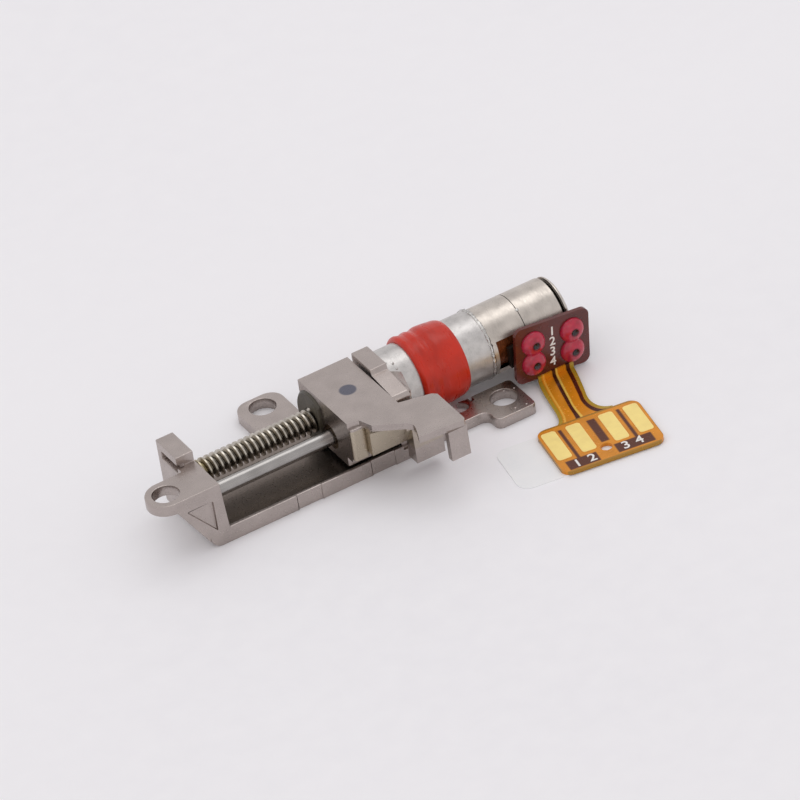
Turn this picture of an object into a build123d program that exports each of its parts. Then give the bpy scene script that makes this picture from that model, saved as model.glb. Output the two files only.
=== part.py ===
from build123d import *
from math import atan, ceil, cos, pi, radians, sin, sqrt, tan
import os

# Micro linear actuator: a 5 mm two-phase stepper motor with a two-stage planetary gearbox turns
# a lead screw, which draws a slider along a guide rod inside a one-piece metal bracket.
# +X runs along the screw towards the motor, +Z is up, and the slider's wing reaches out to -Y.
# The origin is on the bracket's foot, under the screw axis, at the front wall's inner face.

os.makedirs("parts", exist_ok=True)

# ---- driving dimensions, in mm ----------------------------------------------------------------
axis_z = 2.9                 # height of the screw, gearbox and motor axis above the foot
running_gap = 0.03           # radial clearance of each shaft in its bush
seat_gap = 0.01              # clearance of a fixed piece in its seat

# bracket
channel_length = 13.8        # between the two upright walls
front_wall = 1.35
rear_wall = 1.3
front_y = -4.65
back_y = 1.6
floor_thickness = 0.85
rim_height = 1.2
rim_width = 0.3
wall_height = 4.9
hook_height = 5.7
hook_start_y = -1.2
hook_pocket = 0.55
foot_radius = 0.9            # rounded outer corner under the front wall
wall_draft = 0.2
ear_thickness = 0.85
front_ear_radius = 1.45
front_ear_x = -3.36
ear_hole_radius = 0.95
back_ear_x = 8.85
back_ear_width = 3.5
back_ear_y = 6.2
back_ear_reach = 7.5
side_ear_from_wall = 5.3      # from the rear wall to the ear's near edge
side_ear_length = 3.1
side_ear_hole = 1.7          # from that edge to the hole
side_ear_y = -3.9
side_ear_front = -5.95
side_ear_back = -2.35
arm_front = -4.5
arm_back = -2.8
ledge_hole = 4.1             # from the rear wall

# lead screw, guide rod and nut
screw_radius = 0.875
thread_pitch = 0.45
thread_depth = 0.27
thread_root_width = 0.36
thread_crest_width = 0.12
nut_ridge_base = 0.28
nut_ridge_tip = 0.09
thread_gap = 0.03            # round the screw's thread inside the nut
front_journal = 0.5
rear_journal = 0.6
rod_radius = 0.55
rod_y = -2.3
rod_z = 2.7
guide_bush_wall = 0.35
nut_radius = 2.1
nut_side = 1.25              # flat beside the guide bush
nut_flat = 1.1               # height of the flat that clears the floor
nut_length = 4.1

# slider
slider_gap = 0.16            # from the slider's back to the rear wall at rest
slider_length = 3.93
slider_top = 5.3
slider_side = -5.05
slider_floor = 1.35
plate_thickness = 0.5
wing_reach = -9.88
wing_length = 2.56
rib_front = -5.45
rib_length = 1.22            # from the slider's front
rib_bottom = 2.35
block_bottom = 2.6
block_front = -5.95
block_overhang = 0.46        # past the slider's back
block_top_y = -6.3
tab_bottom = 2.45
leg_bottom = 1.0

# gearbox
gearbox_radius = 2.5
gearbox_wall = 0.25
gearbox_length = 7.4
gearbox_nose = 0.8
pressure_angle = radians(25)
sun_teeth = 9
planet_teeth = 9
ring_teeth = sun_teeth + 2 * planet_teeth
addendum = 0.7               # tooth height above the pitch circle, in modules
dedendum = 1.15
backlash = 0.09
ring_wall = 0.3355           # outside the ring gear's tooth roots
face_width = 1.2
carrier_thickness = 0.6
carrier_gap = 0.114          # inside the ring gear's tooth tips
planet_pin = 0.2
sleeve_from_wall = 1.85
sleeve_length = 3.6
sleeve_wall = 0.35

# motor
motor_radius = 2.45
can_wall = 0.2
can_length = 2.9
can_gap = 0.05
magnet_radius = 1.1
shaft_radius = 0.4
bobbin_bore = 1.45
coil_inner = 1.65
coil_outer = 2.1
claw_count = 5
rear_plate = 0.5
end_groove = 0.3             # between the rear can and the end plate's rim
window_margin = 0.5          # from each end of a can to its side window
end_wall = 0.15
flange = 0.2
sun_shaft = 0.25

# circuit
board_from_joint = 4.15      # from the gearbox's end to the middle of the board
board_z = 2.58
board_length = 5.8
board_height = 4.35
board_tilt = -6              # degrees about Y
board_face = -3.3
board_thickness = 0.3
terminal_pitch_x = 3.05
terminal_pitch_z = 1.6
terminal_radius = 0.15
blob_radius = 0.82
blob_height = 0.5
tail_from_board = 1.5        # its near edge, before the middle of the board
tail_width = 2.8
tail_thickness = 0.12
tail_rise = 0.75             # height of the tail's turned-up end on the board
head_thickness = 0.27
liner_thickness = 0.06
head_from_board = 1.5
head_y = -11.45
head_length = 7.5
head_width = 5.4
head_turn = -9               # degrees about Z
liner_reach = 3.1            # how far the liner shows past the strip
pad_places = (-3, -1.2, 1.2, 3)
pad_y = 0.55
pad_length = 3.35
pad_width = 1.05
pad_height = 0.03
pad_corner = 0.22
strip_corner = 0.75
locating_hole = (-0.1, -1.3)
locating_hole_radius = 0.42

# ---- places worked out from them --------------------------------------------------------------
gear_x = channel_length + rear_wall
bush_x = -front_wall + 0.2   # the front wall stays closed outside
bush_outer = front_journal + 0.6
motor_x = gear_x + gearbox_length
side_ear_start = gear_x + side_ear_from_wall
side_ear_end = side_ear_start + side_ear_length
side_ear_x = side_ear_start + side_ear_hole
sleeve_start = gear_x + sleeve_from_wall
board_x = motor_x + board_from_joint
tail_start = board_x - tail_from_board
head_x = board_x - head_from_board
slider_back = channel_length - slider_gap
slider_front = slider_back - slider_length
slider_plate = slider_top - plate_thickness
wing_end = slider_back + wing_length
rib_end = slider_front + rib_length
block_end = slider_back + block_overhang
ring_outer = gearbox_radius - gearbox_wall - seat_gap
tooth_module = (ring_outer - ring_wall) / (ring_teeth / 2 + dedendum)
gear_distance = tooth_module * (sun_teeth + planet_teeth) / 2
carrier_radius = tooth_module * (ring_teeth / 2 - addendum) - carrier_gap
stage_length = face_width + carrier_thickness + 0.2
carrier_x = gear_x + gearbox_nose + 1.0
second_stage_x = carrier_x + carrier_thickness + 0.05
first_stage_x = second_stage_x + stage_length + 0.05
ring_x = carrier_x + carrier_thickness - 0.15
ring_length = first_stage_x + face_width + 0.2 - ring_x
motor_end = motor_x + 2 * can_length + can_gap
seam_x = motor_x + can_length + can_gap / 2
board_plane = Plane(origin=(board_x, board_face, board_z), z_dir=(0, -1, 0),
                    x_dir=(cos(radians(board_tilt)), 0, sin(radians(board_tilt))))
terminals = [board_plane.from_local_coords((x, z, 0)) for x in (-terminal_pitch_x / 2, terminal_pitch_x / 2)
             for z in (-terminal_pitch_z / 2, terminal_pitch_z / 2)]


# ---- shared helpers ---------------------------------------------------------------------------
def across(x):
    """A sketch plane across the main axis at x: local x is +Y and local y is +Z."""
    return Plane(origin=(x, 0, axis_z), x_dir=(0, 1, 0), z_dir=(1, 0, 0))


main_axis = Axis((0, 0, axis_z), (1, 0, 0))
turning = Plane(origin=(0, 0, axis_z), x_dir=(1, 0, 0), z_dir=(0, -1, 0))


def side(y):
    """A sketch plane facing -Y at y: local x is +X and local y is +Z."""
    return Plane(origin=(0, y, 0), x_dir=(1, 0, 0), z_dir=(0, -1, 0))


def block(x, y, z, mode=Mode.ADD):
    """A box between pairs of coordinates."""
    with Locations((x[0], y[0], z[0])):
        Box(x[1] - x[0], y[1] - y[0], z[1] - z[0], align=(Align.MIN,) * 3, mode=mode)


def outline(*points, rotation=0, mode=Mode.ADD):
    """A filled polygon in the current sketch."""
    Polygon(*points, rotation=rotation, align=None, mode=mode)


def disc(x0, x1, radius, mode=Mode.ADD):
    """A cylinder on the main axis."""
    with Locations(across(x0)):
        Cylinder(radius, x1 - x0, align=(Align.CENTER, Align.CENTER, Align.MIN), mode=mode)


def rod(x0, x1, radius, mode=Mode.ADD):
    """A cylinder on the guide rod's axis."""
    with Locations(Plane(origin=(x0, rod_y, rod_z), x_dir=(0, 1, 0), z_dir=(1, 0, 0))):
        Cylinder(radius, x1 - x0, align=(Align.CENTER, Align.CENTER, Align.MIN), mode=mode)


def turned(*points, mode=Mode.ADD):
    """A body of revolution on the main axis from (x, radius) points."""
    with BuildSketch(turning) as profile:
        outline(*points)
    revolve(profile.sketch, axis=main_axis, mode=mode)


def finish(part, name):
    """Label a finished piece and write its STEP file."""
    part.label = name
    export_step(part, f"parts/{name}.step")


def tooth_points(teeth, inner, outer, thickness):
    """One ring of involute teeth as (y, z) points, from the inner to the outer radius."""
    pitch_radius = tooth_module * teeth / 2
    base = pitch_radius * cos(pressure_angle)
    start = max(base, inner)

    def half_angle(radius):
        roll = sqrt(max((radius / base) ** 2 - 1, 0))
        return thickness / (2 * pitch_radius) + tan(pressure_angle) - pressure_angle - roll + atan(roll)

    radii = [start, (start + outer) / 2, outer]
    flank = [(radius, half_angle(radius)) for radius in radii]
    if inner < base:
        flank.insert(0, (inner, half_angle(base)))
    points = []
    for tooth in range(teeth):
        centre = 2 * pi * tooth / teeth
        points += [(r * cos(centre - a), r * sin(centre - a)) for r, a in flank]
        points += [(r * cos(centre + a), r * sin(centre + a)) for r, a in reversed(flank)]
    return points


def pinion_points(teeth):
    """The outline of a sun or planet gear."""
    pitch_radius = tooth_module * teeth / 2
    inner = pitch_radius - dedendum * tooth_module
    outer = pitch_radius + addendum * tooth_module
    return tooth_points(teeth, inner, outer, pi * tooth_module / 2 - backlash / 2)


# ---- bracket ----------------------------------------------------------------------------------
with BuildPart() as bracket:
    block((0, gear_x), (front_y, back_y), (0, floor_thickness))
    block((0, channel_length), (front_y, front_y + rim_width), (0, rim_height))
    # front wall, with its draft and its rounded outer foot
    with BuildSketch(side(front_y)) as wall_side:
        outline((0, wall_height), (wall_draft, rim_height), (wall_draft, 0), (-front_wall, 0),
                (-front_wall, wall_height))
        corner = wall_side.vertices().sort_by(Axis.X)[:2].sort_by(Axis.Y)[0]
        fillet(corner, radius=foot_radius)
    extrude(amount=-(back_y - front_y))
    block((-front_wall, 0), (hook_start_y, back_y), (wall_height, hook_height))
    # ear beside the front wall, with the web under it
    with BuildSketch(Plane.XY.offset(wall_height - ear_thickness)):
        with Locations((front_ear_x, front_y + front_ear_radius)):
            Circle(front_ear_radius)
        with Locations((front_ear_x, front_y)):
            Rectangle(-front_ear_x, 2 * front_ear_radius, align=(Align.MIN, Align.MIN))
    extrude(amount=ear_thickness)
    with BuildSketch(side(front_y)):
        outline((front_ear_x, wall_height - ear_thickness), (-front_wall, wall_height - ear_thickness),
                (-front_wall, 0.6))
    extrude(amount=-0.9)
    with BuildSketch(side(front_y)):
        outline((-2.65, 3.75), (-0.7, 3.75), (-0.7, 1.35))
    extrude(amount=-0.22, mode=Mode.SUBTRACT)
    # pocket under the front hook
    block((-front_wall, hook_pocket - front_wall), (hook_start_y, back_y - 0.6),
          (wall_height - 0.5, wall_height + 0.15), mode=Mode.SUBTRACT)
    # rear wall, higher at its back, with the thick web beside the gearbox
    with BuildSketch(Plane.YZ.offset(channel_length)):
        outline((-4.3, 0), (-4.3, 4.7), (-4.05, 5.0), (-1.4, 5.3), (-1.3, hook_height),
                (1.3, hook_height), (1.3, 0))
    extrude(amount=rear_wall)
    with BuildSketch(Plane.XY.offset(wall_height - 0.9)):
        outline((gear_x, -1.2), (gear_x + 0.7, -1.9), (gear_x + 0.1, -4.2), (gear_x, -4.2))
    extrude(amount=1)
    disc(gear_x, gear_x + 0.9, gearbox_radius + seat_gap, mode=Mode.SUBTRACT)
    # ear behind the channel
    with BuildSketch(Plane.XY) as back_ear:
        with Locations((back_ear_x, back_y)):
            Rectangle(back_ear_width, back_ear_reach - back_y, align=(Align.CENTER, Align.MIN))
        fillet(back_ear.vertices().sort_by(Axis.Y)[-2:], radius=1.1)
    extrude(amount=ear_thickness)
    # arm and ear beside the motor, with the thinner ledge under the gearbox
    block((gear_x, side_ear_start), (arm_front, -1.9), (0, 0.5))
    with BuildSketch(Plane.XY) as side_ear:
        with Locations((gear_x, arm_front)):
            Rectangle(side_ear_end - gear_x, arm_back - arm_front, align=(Align.MIN, Align.MIN))
        with Locations((side_ear_start, side_ear_front)):
            Rectangle(side_ear_end - side_ear_start, side_ear_back - side_ear_front,
                      align=(Align.MIN, Align.MIN))
        inner_corner = [v for v in side_ear.vertices()
                        if abs(v.X - side_ear_start) < 0.01 and abs(v.Y - arm_front) < 0.01]
        fillet(inner_corner, radius=0.6)
        fillet(side_ear.vertices().sort_by(Axis.X)[-2:], radius=0.35)
        front_corner = side_ear.vertices().sort_by(Axis.Y)[0:2].sort_by(Axis.X)[0]
        fillet(front_corner, radius=0.5)
    extrude(amount=ear_thickness)
    # holes
    with Locations((front_ear_x, front_y + front_ear_radius, wall_height),
                   (back_ear_x, back_ear_y, ear_thickness),
                   (side_ear_x, side_ear_y, ear_thickness)):
        Hole(radius=ear_hole_radius, depth=ear_thickness + 0.05)
    with Locations((gear_x + ledge_hole, -2.65, ear_thickness)):
        Hole(radius=0.8, depth=ear_thickness + 0.05)
    disc(bush_x, wall_draft, bush_outer + seat_gap, mode=Mode.SUBTRACT)
    disc(channel_length, gear_x, screw_radius + 0.15, mode=Mode.SUBTRACT)
    rod(-front_wall, gear_x, rod_radius + seat_gap, mode=Mode.SUBTRACT)
    # shallow steps along the front of the rim
    block((5.4, 7.3), (front_y, front_y + 0.06), (0, rim_height), mode=Mode.SUBTRACT)
    block((11.2, 13.05), (front_y, front_y + 0.06), (0, rim_height), mode=Mode.SUBTRACT)
finish(bracket.part, "bracket")

# ---- screw line -------------------------------------------------------------------------------
with BuildPart() as front_bush:
    disc(bush_x, wall_draft, bush_outer)
    disc(bush_x, wall_draft, front_journal + running_gap, mode=Mode.SUBTRACT)
finish(front_bush.part, "front_bush")

thread_start = wall_draft + 0.15
thread_end = channel_length - 0.1


def thread_ridge(x0, length, base, tip, base_half, tip_half):
    """A helical ridge on the main axis that tapers from the base radius to the tip radius."""
    with BuildPart(Plane.XY) as ridge:
        with BuildLine() as path:
            Helix(thread_pitch, length, base)
        with BuildSketch(Plane(origin=(base, 0, 0), x_dir=(1, 0, 0), z_dir=(0, -1, 0))):
            outline((0, -base_half), (tip - base, -tip_half), (tip - base, tip_half), (0, base_half))
        sweep(path=path.line, is_frenet=True)
    return ridge.part.moved(Location(across(x0)))


screw_thread_x = thread_start + 0.25
with BuildPart() as lead_screw:
    disc(thread_start - 0.1, thread_end, screw_radius - thread_depth)
    disc(bush_x + 0.1, thread_start, front_journal)
    disc(thread_end - 0.1, carrier_x + carrier_thickness, rear_journal)
    add(thread_ridge(screw_thread_x, thread_end - thread_start - 0.5, screw_radius - thread_depth - 0.03,
                     screw_radius, thread_root_width / 2, thread_crest_width / 2))
finish(lead_screw.part, "lead_screw")

with BuildPart() as guide_rod:
    rod(-front_wall, gear_x, rod_radius)
    chamfer(guide_rod.edges().filter_by(GeomType.CIRCLE), 0.08)
finish(guide_rod.part, "guide_rod")

# ---- slider and nut ---------------------------------------------------------------------------
nut_x = slider_back - nut_length
with BuildPart() as drive_nut:
    disc(nut_x, slider_back - 0.1, nut_radius)
    block((nut_x - 1, slider_back), (-nut_radius, nut_radius), (0, nut_flat), mode=Mode.SUBTRACT)
    block((nut_x - 1, slider_back), (-nut_radius, -nut_side), (0, 2 * axis_z), mode=Mode.SUBTRACT)
    disc(nut_x, slider_back, screw_radius + thread_gap, mode=Mode.SUBTRACT)
    chamfer(drive_nut.faces().sort_by(Axis.X)[0].outer_wire().edges().filter_by(GeomType.CIRCLE), 0.15)
    # the nut's ridge runs half a pitch behind the screw's, in the gap between its turns
    turns_before = ceil((nut_x + 0.2 - screw_thread_x) / thread_pitch - 0.5)
    nut_turns = int((slider_back - 0.4 - nut_x) / thread_pitch) - 1
    add(thread_ridge(screw_thread_x + (turns_before + 0.5) * thread_pitch, nut_turns * thread_pitch,
                     screw_radius + thread_gap + 0.03, screw_radius - thread_depth + thread_gap + 0.01,
                     nut_ridge_base / 2, nut_ridge_tip / 2))
finish(drive_nut.part, "drive_nut")

bush_radius = rod_radius + guide_bush_wall
with BuildPart() as guide_bush:
    rod(slider_front + 0.1, slider_back - 0.1, bush_radius)
    rod(slider_front + 0.1, slider_back - 0.1, rod_radius + running_gap, mode=Mode.SUBTRACT)
finish(guide_bush.part, "guide_bush")

with BuildPart() as slider:
    with BuildSketch(Plane.XY.offset(slider_plate)) as plan:
        outline((slider_front, back_y), (slider_back, back_y), (slider_back, slider_side - 0.2),
                (wing_end - 0.3, -5.85), (wing_end, -6.15), (wing_end, wing_reach),
                (wing_end - 3.5, wing_reach + 0.3), (wing_end - 3.1, -8.5), (wing_end - 3.05, -8.05),
                (wing_end - 3.3, -7.65),
                (rib_end, block_top_y), (slider_front + 0.86, slider_side - 0.15), (slider_front, slider_side))
        outer_corner = plan.vertices().sort_by(Axis.Y)[0]
        fillet(outer_corner, radius=0.2)
    extrude(amount=plate_thickness)
    # body round the nut and the rod
    block((slider_front, slider_back), (slider_side + 0.75, -0.9), (slider_floor, slider_plate))
    block((slider_front, slider_back), (0.9, back_y), (axis_z, slider_plate))
    block((slider_front, slider_back), (slider_side, slider_side + 0.75), (2.1, slider_plate))
    # rounded rib and slanted block on the front
    with BuildSketch(Plane.XY.offset(rib_bottom)) as rib:
        outline((slider_front, slider_side + 0.2), (rib_end, slider_side + 0.2), (rib_end, rib_front),
                (slider_front, rib_front))
        fillet(rib.vertices().sort_by(Axis.Y)[:2], radius=0.28)
    extrude(amount=slider_plate - rib_bottom + 0.1)
    with BuildSketch(Plane.XY.offset(block_bottom)):
        outline((rib_end - 0.1, slider_side + 0.2), (rib_end - 0.1, block_front), (block_end, block_front),
                (block_end, slider_side - 0.2))
    with BuildSketch(Plane.XY.offset(slider_plate - 0.35)):
        outline((rib_end - 0.1, slider_side + 0.2), (rib_end - 0.1, block_front - 0.05),
                (block_end, block_front - 0.9), (block_end, slider_side - 0.2))
    loft()
    with BuildSketch(Plane.XY.offset(slider_plate - 0.35)):
        outline((rib_end - 0.1, slider_side + 0.2), (rib_end - 0.1, block_front - 0.05),
                (block_end, block_front - 0.9), (block_end, slider_side - 0.2))
    with BuildSketch(Plane.XY.offset(slider_plate + 0.1)):
        outline((rib_end - 0.1, slider_side + 0.2), (rib_end - 0.1, block_top_y + 0.05),
                (wing_end - 3.3, -7.6), (block_end, slider_side - 0.2))
    loft()
    # leg under the wing, and the tab at its tip
    block((slider_back, wing_end - 0.35), (-6.7, -5.6), (leg_bottom, slider_plate))
    block((slider_back - 0.4, wing_end - 0.35), (-6.7, -5.6), (3.9, slider_plate))
    block((wing_end - 1.45, wing_end), (wing_reach, wing_reach + 0.5), (tab_bottom, slider_plate))
    # seats
    with BuildSketch(across(slider_front)) as nut_seat:
        Circle(nut_radius + seat_gap)
        with Locations((-nut_side - seat_gap, 0)):
            Rectangle(nut_radius, 3 * nut_radius, align=(Align.MAX, Align.CENTER), mode=Mode.SUBTRACT)
    extrude(amount=slider_length, mode=Mode.SUBTRACT)
    rod(slider_front, slider_back, bush_radius + seat_gap, mode=Mode.SUBTRACT)
finish(slider.part, "slider")

# ---- gearbox ----------------------------------------------------------------------------------
with BuildPart() as gearbox_housing:
    disc(gear_x, motor_x, gearbox_radius)
    disc(gear_x + gearbox_nose, motor_x, gearbox_radius - gearbox_wall, mode=Mode.SUBTRACT)
    disc(gear_x, gear_x + gearbox_nose, rear_journal + 0.6 + seat_gap, mode=Mode.SUBTRACT)
    chamfer(gearbox_housing.edges().filter_by(GeomType.CIRCLE).sort_by(SortBy.RADIUS)[-2:], 0.06)
finish(gearbox_housing.part, "gearbox_housing")

with BuildPart() as output_bearing:
    disc(gear_x + 0.05, carrier_x - 0.1, rear_journal + 0.6)
    disc(gear_x, carrier_x, rear_journal + running_gap, mode=Mode.SUBTRACT)
finish(output_bearing.part, "output_bearing")

ring_pitch = tooth_module * ring_teeth / 2
with BuildPart() as ring_gear:
    with BuildSketch(across(ring_x)):
        Circle(ring_outer)
        gaps = tooth_points(ring_teeth, ring_pitch - addendum * tooth_module,
                            ring_pitch + dedendum * tooth_module,
                            pi * tooth_module / 2 + backlash / 2)
        phase = (180 + 180 / planet_teeth) * planet_teeth / ring_teeth
        outline(*gaps, rotation=phase, mode=Mode.SUBTRACT)
    extrude(amount=ring_length)
finish(ring_gear.part, "ring_gear")


def pinned_carrier(x0, x1, radius, pin_x):
    """A carrier disc with its planet pins standing on the motor side."""
    disc(x0, x1, radius)
    with Locations(across(x0)):
        with PolarLocations(gear_distance, 3):
            Cylinder(planet_pin, pin_x - x0, align=(Align.CENTER, Align.CENTER, Align.MIN))


with BuildPart() as output_carrier:
    pinned_carrier(carrier_x, carrier_x + carrier_thickness, carrier_radius,
                   second_stage_x + face_width + 0.04)
    disc(carrier_x, carrier_x + carrier_thickness, rear_journal + seat_gap, mode=Mode.SUBTRACT)
finish(output_carrier.part, "output_carrier")

first_carrier_x = second_stage_x + face_width + 0.1
with BuildPart() as first_carrier:
    pinned_carrier(first_carrier_x, first_carrier_x + carrier_thickness, carrier_radius,
                   first_stage_x + face_width + 0.04)
    disc(first_carrier_x, first_carrier_x + carrier_thickness, 0.3 + seat_gap, mode=Mode.SUBTRACT)
finish(first_carrier.part, "first_carrier")

with BuildPart() as second_stage_sun:
    with BuildSketch(across(second_stage_x + 0.05)):
        outline(*pinion_points(sun_teeth))
    extrude(amount=face_width - 0.05)
    disc(second_stage_x + face_width - 0.1, first_carrier_x + carrier_thickness, 0.3)
finish(second_stage_sun.part, "second_stage_sun")

for stage, stage_x in (("second", second_stage_x), ("first", first_stage_x)):
    for number in range(3):
        turn = 120 * number
        place = Plane(origin=(stage_x, gear_distance * cos(radians(turn)),
                              axis_z + gear_distance * sin(radians(turn))),
                      x_dir=(0, cos(radians(turn)), sin(radians(turn))), z_dir=(1, 0, 0))
        with BuildPart() as planet:
            with BuildSketch(place):
                outline(*pinion_points(planet_teeth), rotation=180 + 180 / planet_teeth)
                Circle(planet_pin + running_gap, mode=Mode.SUBTRACT)
            extrude(amount=face_width)
        finish(planet.part, f"{stage}_stage_planet_{number + 1}")

# ---- motor ------------------------------------------------------------------------------------
sun_x = first_stage_x + 0.05
with BuildPart() as first_stage_sun:
    with BuildSketch(across(sun_x)):
        outline(*pinion_points(sun_teeth))
        Circle(sun_shaft + seat_gap, mode=Mode.SUBTRACT)
    extrude(amount=face_width)
finish(first_stage_sun.part, "first_stage_sun")

with BuildPart() as motor_shaft:
    disc(sun_x, first_stage_x + face_width + 0.3, sun_shaft)
    disc(first_stage_x + face_width + 0.3, motor_end + rear_plate - 0.1, shaft_radius)
finish(motor_shaft.part, "motor_shaft")

magnet_start = motor_x + 0.4
magnet_end = motor_end - 0.4
with BuildPart() as rotor_magnet:
    disc(magnet_start, magnet_end, magnet_radius)
    disc(magnet_start, magnet_end, shaft_radius + seat_gap, mode=Mode.SUBTRACT)
    chamfer(rotor_magnet.edges().filter_by(GeomType.CIRCLE).group_by(SortBy.RADIUS)[-1], 0.1)
finish(rotor_magnet.part, "rotor_magnet")

front_plate_x = motor_x - 0.7
bearing_radius = shaft_radius + 0.4
with BuildPart() as front_motor_plate:
    disc(front_plate_x, motor_x, ring_outer)
    disc(front_plate_x, motor_x, bearing_radius + seat_gap, mode=Mode.SUBTRACT)
finish(front_motor_plate.part, "front_motor_plate")

for name, x in (("front_motor_bearing", front_plate_x - 0.1), ("rear_motor_bearing", motor_end - 0.35)):
    with BuildPart() as bearing:
        disc(x, x + 0.85, bearing_radius)
        disc(x, x + 0.85, shaft_radius + running_gap, mode=Mode.SUBTRACT)
    finish(bearing.part, name)


def claws(x0, x1, start):
    """Pole claws round the rotor from x0 to x1."""
    inner, outer = magnet_radius + 0.1, bobbin_bore - 0.04
    with Locations(across(x0)):
        with PolarLocations((inner + outer) / 2, claw_count, start_angle=start):
            Box(outer - inner, 0.5, x1 - x0, align=(Align.CENTER, Align.CENTER, Align.MIN))


# each coil sits on a bobbin between its can and a claw yoke, and its terminal block reaches out
# through a window in the can's side
claw_pitch = 360 / claw_count
for name, outer_end, inward in (("front", motor_x, 1), ("rear", motor_end, -1)):
    inner_end = outer_end + inward * can_length
    can_low, can_high = sorted((outer_end, inner_end))
    wall_low, wall_high = sorted((outer_end, outer_end + inward * end_wall))
    with BuildPart() as can:
        disc(can_low, can_high, motor_radius)
        disc(can_low, can_high, motor_radius - can_wall, mode=Mode.SUBTRACT)
        disc(wall_low, wall_high, motor_radius - can_wall + 0.02)
        disc(wall_low, wall_high, bobbin_bore - 0.04, mode=Mode.SUBTRACT)
        claw_low, claw_high = sorted((outer_end, inner_end - inward * 0.5))
        claws(claw_low, claw_high, 0)
        # side window for the terminal block
        block((can_low + window_margin, can_high - window_margin), (-motor_radius - 1, -1.6),
              (axis_z - 1.95, axis_z + 1.15), mode=Mode.SUBTRACT)
    finish(can.part, f"{name}_stator_can")
    yoke_low, yoke_high = sorted((inner_end, inner_end - inward * end_wall))
    with BuildPart() as yoke:
        disc(yoke_low, yoke_high, motor_radius - can_wall - seat_gap)
        disc(yoke_low, yoke_high, bobbin_bore - 0.04, mode=Mode.SUBTRACT)
        claw_low, claw_high = sorted((inner_end, outer_end + inward * 0.5))
        claws(claw_low, claw_high, claw_pitch / 2)
    finish(yoke.part, f"{name}_claw_yoke")
    low, high = sorted((outer_end + inward * (end_wall + 0.02), inner_end - inward * (end_wall + 0.02)))
    with BuildPart() as bobbin:
        turned((low, bobbin_bore), (low, coil_outer), (low + flange, coil_outer),
               (low + flange, coil_inner - 0.02), (high - flange, coil_inner - 0.02),
               (high - flange, coil_outer), (high, coil_outer), (high, bobbin_bore))
    finish(bobbin.part, f"{name}_bobbin")
    with BuildPart() as coil:
        turned((low + flange + 0.02, coil_inner), (low + flange + 0.02, coil_outer - 0.08),
               (high - flange - 0.02, coil_outer - 0.08), (high - flange - 0.02, coil_inner))
    finish(coil.part, f"{name}_coil")

with BuildPart() as rear_end_plate:
    turned((motor_end + 0.01, bearing_radius + seat_gap), (motor_end + 0.01, motor_radius - 0.25),
           (motor_end + end_groove, motor_radius - 0.25), (motor_end + end_groove, motor_radius - 0.05),
           (motor_end + rear_plate - 0.1, motor_radius - 0.05), (motor_end + rear_plate, motor_radius - 0.15),
           (motor_end + rear_plate, bearing_radius + seat_gap))
finish(rear_end_plate.part, "rear_end_plate")

with BuildPart() as weld_ring:
    turned((motor_x + 0.005, motor_radius + 0.005), (motor_x + 0.005, motor_radius + 0.09),
           (motor_x + 0.12, motor_radius + 0.09), (motor_x + 0.2, motor_radius + 0.005))
finish(weld_ring.part, "weld_ring")

# ---- silicone damping sleeve ------------------------------------------------------------------
sleeve_inner = gearbox_radius + seat_gap
rib_heights = (0.12, 0.33, 0.24, 0.32, 0.23, 0.34, 0.36, 0.33, 0.28, 0.25, 0.1)
with BuildPart() as damping_sleeve:
    with BuildSketch(turning) as sleeve_profile:
        with BuildLine():
            step = sleeve_length / (len(rib_heights) - 1)
            crest = [(sleeve_start + n * step, sleeve_inner + height) for n, height in enumerate(rib_heights)]
            Spline(*crest)
            Polyline(crest[-1], (sleeve_start + sleeve_length, sleeve_inner), (sleeve_start, sleeve_inner),
                     crest[0])
        make_face()
    revolve(axis=main_axis)
finish(damping_sleeve.part, "damping_sleeve")

# ---- terminals and flexible circuit -----------------------------------------------------------
board_back = board_face + board_thickness
tongue_low, tongue_high = axis_z - 1.2, axis_z + 0.4
with BuildPart() as terminal_block:
    for lower, upper, can_x in ((terminals[0], terminals[1], motor_x), (terminals[2], terminals[3], seam_x)):
        block((lower.X - 0.65, upper.X + 0.65), (board_back + 0.02, -motor_radius - 0.02),
              (lower.Z - 0.45, upper.Z + 0.45))
        block((lower.X - 1.3, min(lower.X + 0.6, can_x + can_length - window_margin - 0.05)),
              (-motor_radius - 0.05, -coil_outer - 0.04), (tongue_low, tongue_high))
    for pin in terminals:
        with Locations(Plane(origin=(pin.X, board_back - 0.1, pin.Z), x_dir=(1, 0, 0), z_dir=(0, 1, 0))):
            Cylinder(terminal_radius + seat_gap, 2, mode=Mode.SUBTRACT,
                     align=(Align.CENTER, Align.CENTER, Align.MIN))
finish(terminal_block.part, "terminal_block")

terminal_end = board_face - 0.3
terminal_length = -motor_radius - 0.03 - terminal_end
with BuildPart() as terminal_pins:
    for pin in terminals:
        with Locations(Plane(origin=(pin.X, terminal_end, pin.Z), x_dir=(1, 0, 0), z_dir=(0, 1, 0))):
            Cylinder(terminal_radius, terminal_length, align=(Align.CENTER, Align.CENTER, Align.MIN))
finish(terminal_pins.part, "terminal_pins")

with BuildPart() as solder_board:
    with BuildSketch(board_plane):
        RectangleRounded(board_length, board_height, 0.55)
        with GridLocations(terminal_pitch_x, terminal_pitch_z, 2, 2):
            Circle(terminal_radius + seat_gap, mode=Mode.SUBTRACT)
    extrude(amount=-board_thickness)
finish(solder_board.part, "solder_board")

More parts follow.
